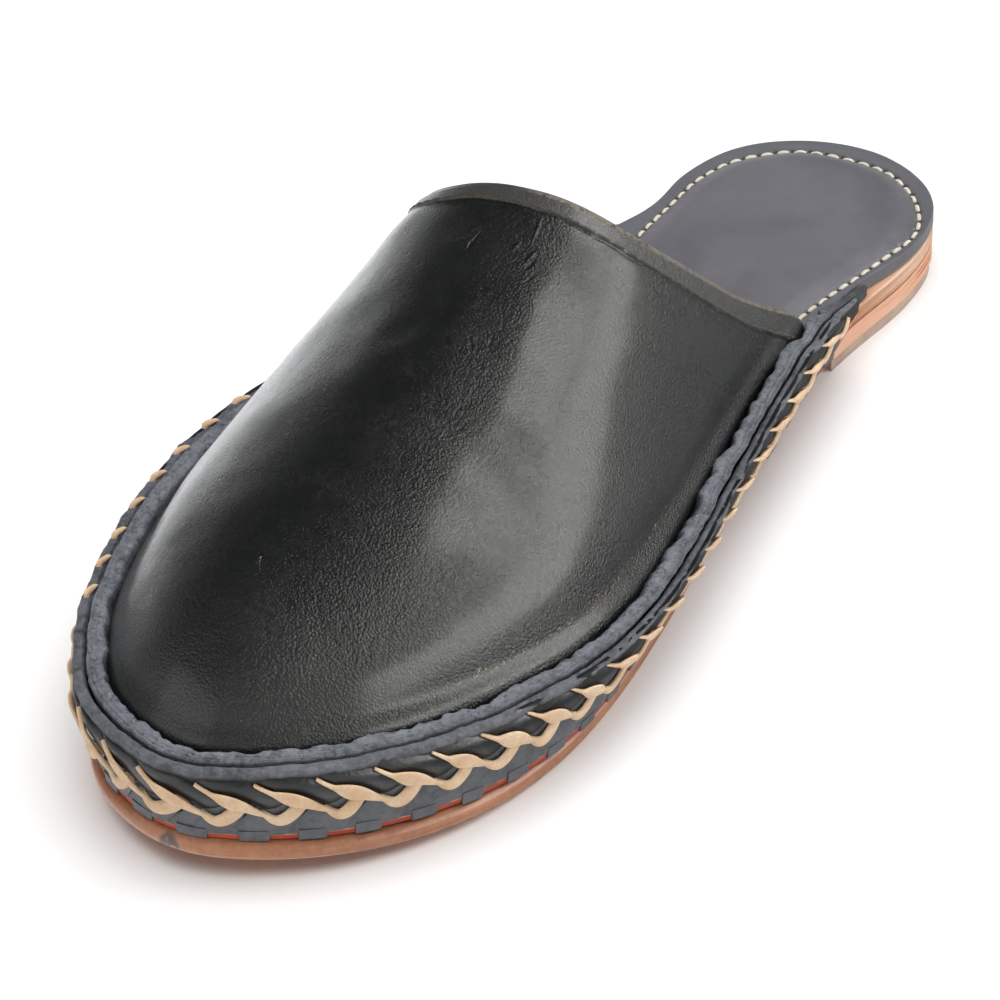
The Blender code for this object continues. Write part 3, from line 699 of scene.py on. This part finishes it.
def ring(name, profile, material, stations, wave, start, end):
    """A leather strip round the rim. profile is a table of rows (d mm, v, wave share, lip share), and
    start and end are what it leaves free at the two ends of the rim."""
    end = RIM_LENGTH - end
    rows = np.array(profile + profile[:1], float)
    mesh, a, w, t = tube(stations, len(profile) * 2)
    turn = (np.arctan2(t, w) / (2 * math.pi)) % 1.0
    at = turn * len(profile)
    d, v, share, lip = (np.interp(at, np.arange(len(rows)), rows[:, k]) for k in range(4))
    s = start + a * (end - start)
    i = np.interp(s, RIM_S, RIM_I)
    near_end = np.clip(np.minimum(s - start, end - s) / END_TAPER, 0, 1)
    slim = np.sqrt(1 - (1 - near_end) ** 2)
    sway = ripple(s, 3.0, 8 * MM) * 0.7 + ripple(s, 9.0, 2.6 * MM) * 0.24 + ripple(s, 15.0, 0.8 * MM) * 0.07
    sway *= 1.2 - 0.95 * smooth(s, TOE * RIM_LENGTH, CALM * RIM_LENGTH)
    lift = ripple(s, 5.0, 9 * MM) + 0.5 * ripple(s + turn * 4 * MM, 31.0, 2.5 * MM)
    middle = (rows[:, 0].max() + rows[:, 0].min()) / 2
    d = (middle + (d - middle) * (0.35 + 0.65 * slim)) * MM + sway * wave * share
    d = d - lip * np.interp(i, RIM_I, STRIP_REACH) / np.maximum(np.interp(i, RIM_I, SHARE), 0.3)
    rough = ripple(s + turn * 9 * MM, 61.0 + turn * 7, 1.3 * MM)
    rough = rough + 0.6 * ripple(s - turn * 6 * MM, 71.0 + turn * 9, 0.6 * MM)
    v = v * (0.55 + 0.45 * slim) + 0.012 * lift * share + 0.004 * rough * (v > 0.95)
    attribute(piece(name, copies(mesh, [rim(s, v, d)]), material, 50), "up_the_rim", v)


ring("rim_inner_strip",
     [(-0.25, 0.0, 0, 0), (-0.25, 0.5, 0, 0), (-0.25, 0.92, 0.2, 0), (-0.35, 1.02, 0.3, 0),
      (-0.7, 1.055, 0.35, 0), (-1.1, 1.038, 0.4, 0), (-1.5, 1.058, 0.4, 0), (-1.95, 1.040, 0.5, 0.05),
      (-2.4, 1.06, 0.6, 0.1), (-3.1, 1.05, 1.0, 0.25), (-3.4, 0.99, 1.0, 0.25), (-3.2, 0.90, 1.0, 0.25),
      (-3.3, 0.75, 0.3, 0), (-3.7, 0.0, 0, 0)],
     RAW, 1300, wave=1.5 * MM, start=2 * MM, end=12 * MM)
ring("rim_outer_strip",
     [(0.15, 0.0, 0, 0), (2.2, 0.0, 0, 0), (2.4, 0.4, 0, 0), (2.4, 0.80, 0, 0), (2.55, 0.90, 0.8, 0),
      (2.5, 0.97, 1.5, 0), (2.1, 1.01, 1.5, 0), (1.2, 1.02, 1.3, 0), (0.5, 1.02, 1.0, 0),
      (0.2, 0.97, 0.5, 0), (0.15, 0.7, 0, 0), (0.15, 0.35, 0, 0)],
     OUTER, 1300, wave=0.45 * MM, start=OUTER_START, end=OUTER_END)
ring("dyed_edge_strip",
     [(2.0, 0.0, 0, 0), (2.75, 0.0, 0, 0), (2.8, 0.05, 0, 0), (2.7, 0.11, 0, 0), (2.2, 0.13, 0, 0),
      (2.0, 0.08, 0, 0)],
     DYED, 300, wave=0.0, start=OUTER_START, end=OUTER_END)


# the plait
UNITS = int((RIM_LENGTH - 2 * BRAID_START) / PITCH) - 1


def plait(u, h, d):
    """Point of the plait: u in pitches from its lateral end, h below the top edge as at the toe, d
    outwards from the outer leather."""
    sunk = 0.2 * MM
    rolled = 1.2 * MM * smooth(h, 3.0 * MM, 0.2 * MM)      # over the top of the rim
    return rim(RIM_LENGTH - BRAID_START - np.asarray(u) * PITCH, 1 - np.asarray(h) / RIM_H,
               OUTER_T - sunk - rolled + d)


def tip(k):
    """How far below the top edge the plait's turn k starts: lower down round the toe."""
    s = RIM_LENGTH - BRAID_START - k * PITCH
    return (0.9 + 1.9 * np.exp(-((s - RIM_LENGTH * TOE) / (62 * MM)) ** 2)) * MM


def drifts(k, size, *seeds):
    """Random variations of the plait's turn k, each about -1 to 1."""
    return (ripple(np.array([k * PITCH]), seed, size)[0] for seed in seeds)


def squared(x, power=0.35):
    return np.sign(x) * np.abs(x) ** power


def upper_straps():
    """The black straps that show as lozenges between the lace's long strokes."""
    mesh, a, w, t = tube(12, 16)
    across = (w + 1) / 2
    lead = np.array([(-0.2, -1.4)] + [row[:2] for row in LONG] + [(1.24, 8.4)])
    places = []
    for k in range(-1, UNITS):
        top = tip(k)
        down = -1.3 + a * (9.1 - 3.7 * across)
        u = k + 0.03 + np.interp(down, lead[:, 1], lead[:, 0]) + across
        swell = np.sin(np.clip(a * 0.95 + 0.12, 0, 1) * math.pi) ** 0.5
        d = (0.05 + np.maximum(squared(t, 0.8), -0.1) * 1.15 * swell) * MM
        places.append(plait(u, top + down * MM, d))
    piece("plait_upper_straps", copies(mesh, places), STRAP, 60)


def lower_straps():
    """The folded straps under the lace, with square tabs that reach down to the sole."""
    mesh, a, w, t = tube(12, 12)
    places, low_end = [], 14.25 * MM
    for k in range(-1, UNITS):
        top = tip(k) + 4.3 * MM
        h = top + a * (low_end - top)
        u = k + 1.45 - 0.66 * a + w * (0.42 + 0.12 * a)
        d = (0.1 + 0.5 * (1 + w) * 0.5 * (1 - 0.5 * a) + 0.4 * t) * MM
        places.append(plait(u, h, d))
    bm = copies(mesh, places)
    mesh, a, w, t = tube(5, 16)
    tabs = []
    for k in range(-1, UNITS):
        wide, low, side = drifts(k, 7 * MM, 51.0, 53.0, 57.0)
        h = TAB_TOP + a * (TAB_H + 0.2 * MM * low)
        u = k + 0.78 + 0.04 * side + squared(w) * (0.25 + 0.03 * wide) - 0.02 * a
        tabs.append(plait(u, h, (0.35 + 0.42 * squared(t)) * MM))
    piece("plait_lower_straps", copies(mesh, tabs, bm), GREY, 45)


def stroke(a, w, t, k, top, rows, thin, lean):
    """A flat lace along a path of rows (pitches, mm down, mm out, mm wide), smoothed."""
    def at(column):
        return np.interp(a, x / x[-1], column)

    rows = eased(np.array(rows, float) * (PITCH / MM, 1, 1, 1))
    x = reach(rows[:, :3])
    side = np.gradient(rows[:, :2], axis=0)
    side = np.stack([-side[:, 1], side[:, 0]], 1) / (np.linalg.norm(side, axis=1)[:, None] + 1e-9)
    e = w * at(rows[:, 3]) / 2 * thin
    u = k + (at(rows[:, 0]) + at(side[:, 0]) * e) / (PITCH / MM)
    h = top + (at(rows[:, 1]) + at(side[:, 1]) * e) * MM
    crown = squared(t, 0.5) * LACE_T / MM / 2 * (1 - 0.25 * w ** 2)
    return plait(u, h, (at(rows[:, 2]) + crown + lean * e) * MM)


def tan_lace():
    """Each turn: a long stroke down over the straps, then a short one up under the next long stroke."""
    mesh, a, w, t = tube(26, 12)
    places = []
    for k in range(UNITS):
        drift, thin, low = drifts(k, 8 * MM, 21.0, 27.0, 29.0)
        high = -tip(k) / MM
        over = ()
        if high > -2.45 and k < UNITS / 2:     # on the outer side it shows on top of the rim too
            over = ((-0.38, high - 0.75, -1.3, 0.3), (-0.2, high - 0.85, -0.7, 0.75),
                    (-0.07, high - 0.5, -0.1, 0.8))
        for rows, lean in ((over + LONG, -0.12), (FOOT, 0.10)):
            bent = [(u + 0.05 * drift * math.sin(3 * u + k), h * (1 + 0.03 * low), d, wide)
                    for u, h, d, wide in rows]
            places.append(stroke(a, w, t, k, tip(k), bent, 1.22 + 0.15 * thin, lean))
    piece("tan_lace", copies(mesh, places), TAN, 50)


upper_straps()
lower_straps()
tan_lace()
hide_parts("braided_band")
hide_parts("welt")


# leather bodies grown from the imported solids
def is_sharp(e):
    return len(e.link_faces) == 2 and e.calc_face_angle() > SHARP


def grown(name, node, material, levels, crease=1.0, before=None):
    """The node's form with rounded faces: creased where the solid has an edge, then subdivided."""
    bm = merged(node)
    if before:
        before(bm)
    layer = bm.edges.layers.float.new("crease_edge")
    for e in bm.edges:
        if is_sharp(e):
            e[layer] = crease
    ob = piece(name, bm, material)
    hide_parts(node)
    sub = ob.modifiers.new("subdivide", "SUBSURF")
    sub.levels = sub.render_levels = levels
    graph = bpy.context.evaluated_depsgraph_get()
    mesh = bpy.data.meshes.new_from_object(ob.evaluated_get(graph), preserve_all_data_layers=True,
                                           depsgraph=graph)
    ob.modifiers.clear()
    old, ob.data = ob.data, mesh
    bpy.data.meshes.remove(old)
    mesh.name = name
    mesh.shade_smooth()
    return ob


def points_of(ob):
    co = np.empty(len(ob.data.vertices) * 3)
    ob.data.vertices.foreach_get("co", co)
    no = np.empty_like(co)
    ob.data.vertices.foreach_get("normal", no)
    return co.reshape(-1, 3), no.reshape(-1, 3)


def put_points(ob, co):
    ob.data.vertices.foreach_set("co", np.ravel(co))
    ob.data.update()


def sharp_lines(bm):
    return walk([e for e in bm.edges if is_sharp(e)])


def top_lines(bm):
    """The upper's top edge, outer and inner, medial end first."""
    long = [c for c in sharp_lines(bm) if reach(c)[-1] > 150 * MM and c[:, 2].max() > 60 * MM]
    long.sort(key=lambda c: -reach(c)[-1])
    return [medial_first(c) for c in long[:2]]


def cut_top_edge(bm):
    """The upper's top edge as it is really cut, and extra rows of faces beside it for its hem."""
    line = eased(top_lines(bm)[0], 8)
    co = np.array([v.co[:] for v in bm.verts])
    far, at = nearest(co, line)
    back = along_table(TOP_CUT, at / reach(line)[-1]) * MM * np.exp(-(far / (24 * MM)) ** 2)
    rise = 0.3 * smooth(co[:, 2], 25 * MM, 60 * MM)
    for v, b, r in zip(bm.verts, back, rise):
        v.co += Vector((-1, 0, r)) * b
    tops = {tuple(np.round(p, 6)) for line in top_lines(bm) for p in line}
    on = {v: tuple(np.round(v.co[:], 6)) in tops for v in bm.verts}
    cross = [e for e in bm.edges if on[e.verts[0]] != on[e.verts[1]]]
    bmesh.ops.subdivide_edges(bm, edges=cross, cuts=3, use_grid_fill=True)


grown("sole_leather", "outsole", SOLE, 2, crease=0.9)
grown("heel_stack", "heel_lift", STACK, 2)
grown("heel_wearing_piece", "heel_top_lift", LIFT, 2)


# the upper: hem, creases, the swell against the rim
cage = merged("vamp")
cut_top_edge(cage)
TOP_LINE = eased(top_lines(cage)[0], 8)
cage.free()
RIM_INNER = RIM["inner top"]
upper = grown("vamp_leather", "vamp", BLACK, 3, crease=0.75, before=cut_top_edge)

# soft folds of the upper, mm: points, width, height (below 0 for a trough); the main crease is first
FOLDS = (
    (((10.1, 4.4, 76.8), (17.3, 5.8, 73.0), (21.6, 7.4, 70.9), (31.3, 11.4, 66.7), (38.5, 14.2, 63.8),
      (50, 18.5, 58.5)), 4.5, -0.38),
    (((20.2, -3.7, 72.0), (18.6, -2.2, 73.2), (17.0, -0.5, 74.2)), 2.2, 0.30),
    (((22.0, -1.0, 71.2), (20.4, 1.2, 72.2)), 2.0, -0.25),
    (((45.5, 0.3, 62.0), (42.4, 2.8, 63.3), (39.6, 4.9, 64.5)), 4.6, 0.34),
    (((41.5, -2.4, 62.9), (38.6, 0.4, 64.5), (36.0, 1.4, 65.6)), 3.6, -0.34),
    (((53.0, -6.0, 59.0), (47.5, -6.5, 61.0), (42.0, -8.0, 62.0)), 5.0, 0.22),
    (((30.0, -2.0, 68.0), (27.0, 1.5, 69.5)), 3.5, -0.2),
    (((26.5, 16.5, 66.5), (33.5, 19.5, 63.0)), 5.0, 0.22),
    (((52.5, 13.0, 59.5), (55.0, 17.0, 57.5)), 2.4, -0.18),
)


def uneven(points, scale):
    """Smooth random height at each point; a larger scale makes it quicker."""
    return np.array([noise.noise(Vector(p) * scale) for p in points])


def fold_height(points):
    height = np.zeros(len(points))
    for line, width, size in FOLDS:
        path = eased(np.array(line) * MM, 10)
        far, at = nearest(points, path)
        end = np.maximum(np.maximum(-at, at - reach(path)[-1]), 0)
        height += size * MM * np.exp(-(far ** 2 + end ** 2) / (width * MM) ** 2)
    return height


def dress_upper():
    """Only the outer face is shaped: the swell against the rim, the hem, folds and unevenness."""
    co, no = points_of(upper)
    far, along = nearest(co, TOP_LINE)
    low, at_rim = nearest(co, RIM_INNER)
    middle = np.stack([np.minimum(co[:, 0], 70 * MM), np.zeros(len(co)), np.full(len(co), 8 * MM)], 1)
    outside = smooth((no * (co - middle)).sum(1), -4 * MM, 4 * MM)
    i = np.interp(at_rim, RIM_S, RIM_I)
    above = (co[:, 2] - read(RIM_INNER, i)[:, 2]) / MM     # over the rim's top
    swell = (0.45 * np.interp(i, RIM_I, STRIP_REACH) + 0.3 * MM) * smooth(above, -12, -2)
    swell *= smooth(above, 5.5, 0.5)
    swell *= smooth(low, 7 * MM, 2.5 * MM) * smooth(far, 0, 7 * MM)
    level = no * (1, 1, 0.15)
    hem = far / (along_table(HEM, along / reach(TOP_LINE)[-1]) * MM)
    wavy = hem + 0.05 * ripple(along, 41.0, 5 * MM) + 0.03 * ripple(along, 45.0, 1.6 * MM)
    raised = 0.3 * MM * smooth(wavy, 1.1, 0.95) - 0.25 * MM * np.exp(-((wavy - HEM_SEAM) / 0.07) ** 2)
    raised -= 0.35 * MM * smooth(far, 0.9 * MM, 0)
    slow = uneven(co, 36) * 0.8 * MM + uneven(co, 120) * 0.10 * MM
    slow *= smooth(low, 4 * MM, 14 * MM)
    co = co + no * (outside * (raised + slow + fold_height(co)))[:, None] + level * (outside * swell)[:, None]
    put_points(upper, co)
    attribute(upper, "hem", np.where(outside > 0.5, wavy, 20))
    attribute(upper, "from_edge", far)
    attribute(upper, "from_rim", low)
    main_crease = np.array(FOLDS[0][0]) * MM
    off_crease, _ = nearest(co, eased(main_crease, 10))
    puckered = np.exp(-(off_crease / (9 * MM)) ** 2) * smooth(far, 2 * MM, 8 * MM)
    attribute(upper, "creased", np.maximum(puckered, 0.9 * smooth(wavy, 1.2, 0.95)))


dress_upper()


def skin(ob):
    """The object's surface, to look up its nearest point."""
    bm = bmesh.new()
    bm.from_mesh(ob.data)
    tree = BVHTree.FromBMesh(bm)
    bm.free()
    return tree


def stitches(name, line, tree, material, pitch, length, thick, lift, margin):
    """A row of stitches along a line, each one's ends sunk into the leather below it. thick is half a
    thread's width, lift the rise of its middle, and margin is left free at both ends of the line."""
    mesh, a, w, t = tube(8, 6)
    lengths, rows = reach(line), np.arange(len(line))
    places = []
    for k in range(int((lengths[-1] - margin - margin) / pitch)):
        middle = margin + (k + 0.5) * pitch
        s = middle + (a - 0.5) * length
        p = np.stack([np.interp(s, lengths, line[:, j]) for j in range(3)], 1)
        centre = np.interp(middle, lengths, rows)
        c = np.array([np.interp(centre, rows, line[:, j]) for j in range(3)])
        on, n = (np.array(v) for v in tree.find_nearest(Vector(c))[:2])
        ahead = p[a.argmax()] - p[a.argmin()]
        ahead /= np.linalg.norm(ahead)
        side = np.cross(n, ahead)
        off = (p - c) @ n
        arch = lift * (1 - (2 * a - 1) ** 2) - 0.35 * thick
        r = thick * (1 - 0.3 * (2 * a - 1) ** 4)
        p = p - off[:, None] * n + (on - c)
        places.append(p + n * (arch + r * t * 0.8)[:, None] + side * (r * w)[:, None])
    piece(name, copies(mesh, places), material, 60)


upper_skin = skin(upper)


def hem_path():
    """Where the hem is stitched, on the upper's outer face."""
    lengths = reach(TOP_LINE)
    widths = along_table(HEM, lengths / lengths[-1]) * MM * HEM_SEAM
    out = []
    for p, ahead, width in zip(TOP_LINE, np.gradient(TOP_LINE, axis=0), widths):
        q, to_toe = Vector(p), Vector((0.1, 0, 0.02)) - Vector(p)
        n = (q - Vector((0.05, 0, 0.01))).normalized()
        for _ in range(4):
            side = n.cross(Vector(ahead)).normalized()
            side = side if side.dot(to_toe) > 0 else -side
            q, n = upper_skin.find_nearest(q + side * width / 4 + n * 0.3 * MM)[:2]
        out.append(q[:])
    return np.array(out)


stitches("hem_stitches", hem_path(), upper_skin, BROWN, pitch=3.6 * MM, length=2.9 * MM, thick=0.3 * MM,
         lift=0.1 * MM, margin=4 * MM)


# the footbed: a padded seat inside its line of stitches
cage = merged("footbed")
BED_LINE = eased(max(sharp_lines(cage), key=lambda c: c[:, 2].mean()), 8)
cage.free()
SEAT_LINE = eased(np.array([(x, y, 0) for x, y in SEAT]) * MM, 10)


def flare(bm):
    """The footbed's outer edge spreads over the end of the rim at the waist."""
    co = np.array([v.co[:] for v in bm.verts])
    x, y = co[:, 0] / MM, co[:, 1] / MM
    out = 3.6 * smooth(x, -92, -80) * smooth(x, -58, -72) * smooth(y, -18, -29)
    for v, by in zip(bm.verts, out):
        v.co.y -= by * MM


def dress_footbed():
    """The seat rises inside its stitch channel, drawn in a little at each stitch."""
    co, no = points_of(bed)
    far, _ = nearest(co, BED_LINE)
    off, along = nearest(co * (1, 1, 0), SEAT_LINE)
    up = smooth(no[:, 2], 0.4, 0.8)
    line = np.stack([np.interp(along, reach(SEAT_LINE), SEAT_LINE[:, j]) for j in range(3)], 1)
    centre = np.stack([np.maximum(co[:, 0], -104 * MM), np.zeros(len(co)), np.zeros(len(co))], 1)
    inner = np.linalg.norm(co * (1, 1, 0) - centre, axis=1) < np.linalg.norm(line - centre, axis=1)
    off = np.where(inner, off, -off)
    pucker = 0.5 + 0.5 * np.cos(2 * math.pi * along / SEAT_PITCH)
    seat = 1.0 * MM * smooth(off, 0.2 * MM, 5 * MM) - 0.45 * MM * np.exp(-(off / (0.8 * MM)) ** 2)
    seat -= 0.12 * MM * pucker * np.exp(-((off - 1.5 * MM) / (1.3 * MM)) ** 2)
    seat *= smooth(co[:, 0], -20 * MM, -40 * MM)
    slow = uneven(co, 45) * 0.35 * MM
    co[:, 2] += up * (seat + slow * smooth(far, 3 * MM, 9 * MM))
    put_points(bed, co)
    attribute(bed, "from_seat", np.where((no[:, 2] > 0.3) & (co[:, 0] < -41 * MM), off, -0.05))
    attribute(bed, "along_seat", along)


bed = grown("footbed_leather", "footbed", BED, 3, crease=0.8, before=flare)
dress_footbed()
bed_skin = skin(bed)
down = Vector((0, 0, -1))
seat_line = np.array([bed_skin.ray_cast(Vector(p) - 0.1 * down, down)[0][:] for p in SEAT_LINE])
stitches("seat_stitches", seat_line, bed_skin, WHITE, pitch=SEAT_PITCH, length=2.7 * MM, thick=0.45 * MM,
         lift=0.3 * MM, margin=0.0)


# studio
FLOOR_HALF = 3.0
FLOOR_GREY = (0.92, 0.92, 0.92, 1.0)
SKY = (0.97, 0.985, 1.0, 1.0)
# name, place, size, watts, lights surfaces, shows in gloss
LIGHTS = (
    ("side softbox", (-0.95, 1.10, 0.66), (0.75, 1.1), 9.0, True, False),
    ("low gloss card", (-0.406, 1.518, 0.560), (2.07, 0.50), 35.0, False, True),
    ("high gloss card", (-0.815, 0.912, 1.135), (0.56, 0.83), 16.5, False, True),
    ("toe card", (1.28, -0.62, 0.50), (1.9, 0.8), 8.0, False, True),
    ("back softbox", (-1.0, -0.9, 0.7), (0.7, 0.7), 2.5, True, False),
    ("top light", (0.1, 0.1, 2.2), (3.2, 3.2), 86.0, True, False),
)


def set_floor():
    bm = bmesh.new()
    bmesh.ops.create_grid(bm, x_segments=1, y_segments=1, size=FLOOR_HALF)
    mesh = bpy.data.meshes.new("floor")
    bm.to_mesh(mesh)
    bm.free()
    floor = bpy.data.objects.new("floor", mesh)
    bpy.context.scene.collection.objects.link(floor)
    mat = bpy.data.materials.new("pale floor")
    mat.use_nodes = True
    shader = mat.node_tree.nodes["Principled BSDF"]
    shader.inputs["Base Color"].default_value = FLOOR_GREY
    shader.inputs["Roughness"].default_value = 0.9
    mesh.materials.append(mat)
    floor.visible_glossy = False               # gloss shows the studio below the table, not the floor


def set_sky():
    """Pale surroundings, brightest at the horizon and below it."""
    world = bpy.data.worlds.new("studio")
    bpy.context.scene.world = world
    world.use_nodes = True
    t = Tree(world.node_tree)
    x, y, up = t.add("SeparateXYZ", {0: t.add("TexCoord").outputs["Generated"]}).outputs
    to_cards = t.math("ADD", t.times(x, -0.87), t.times(y, 0.5))
    to_camera = t.math("ADD", t.times(x, 0.82), t.times(y, 0.57))
    height = t.math("ADD", up, t.ramp(y, -0.15, -0.6, 0.0, 0.24))
    strength = t.times(t.ramp(height, 0.06, 0.42, 2.1, 0.10), t.ramp(to_cards, 0.15, 0.55, 1.0, 0.16),
                       t.ramp(y, -0.90, -0.78, 0.25, 1.0), t.ramp(to_camera, 0.2, 0.7, 1.0, 0.6))
    background = world.node_tree.nodes["Background"]
    background.inputs["Color"].default_value = SKY
    t.put(background.inputs["Strength"], strength)


def set_lights():
    for name, place, size, watts, diffuse, gloss in LIGHTS:
        light = bpy.data.lights.new(name, "AREA")
        light.shape = "RECTANGLE"
        light.size, light.size_y = size
        light.energy = watts
        ob = bpy.data.objects.new(name, light)
        bpy.context.scene.collection.objects.link(ob)
        ob.visible_diffuse, ob.visible_glossy = diffuse, gloss
        ob.location = place
        ob.rotation_euler = (AIM - Vector(place)).to_track_quat("-Z", "Y").to_euler()


set_floor()
set_sky()
set_lights()
bpy.context.scene.view_settings.view_transform = "Standard"
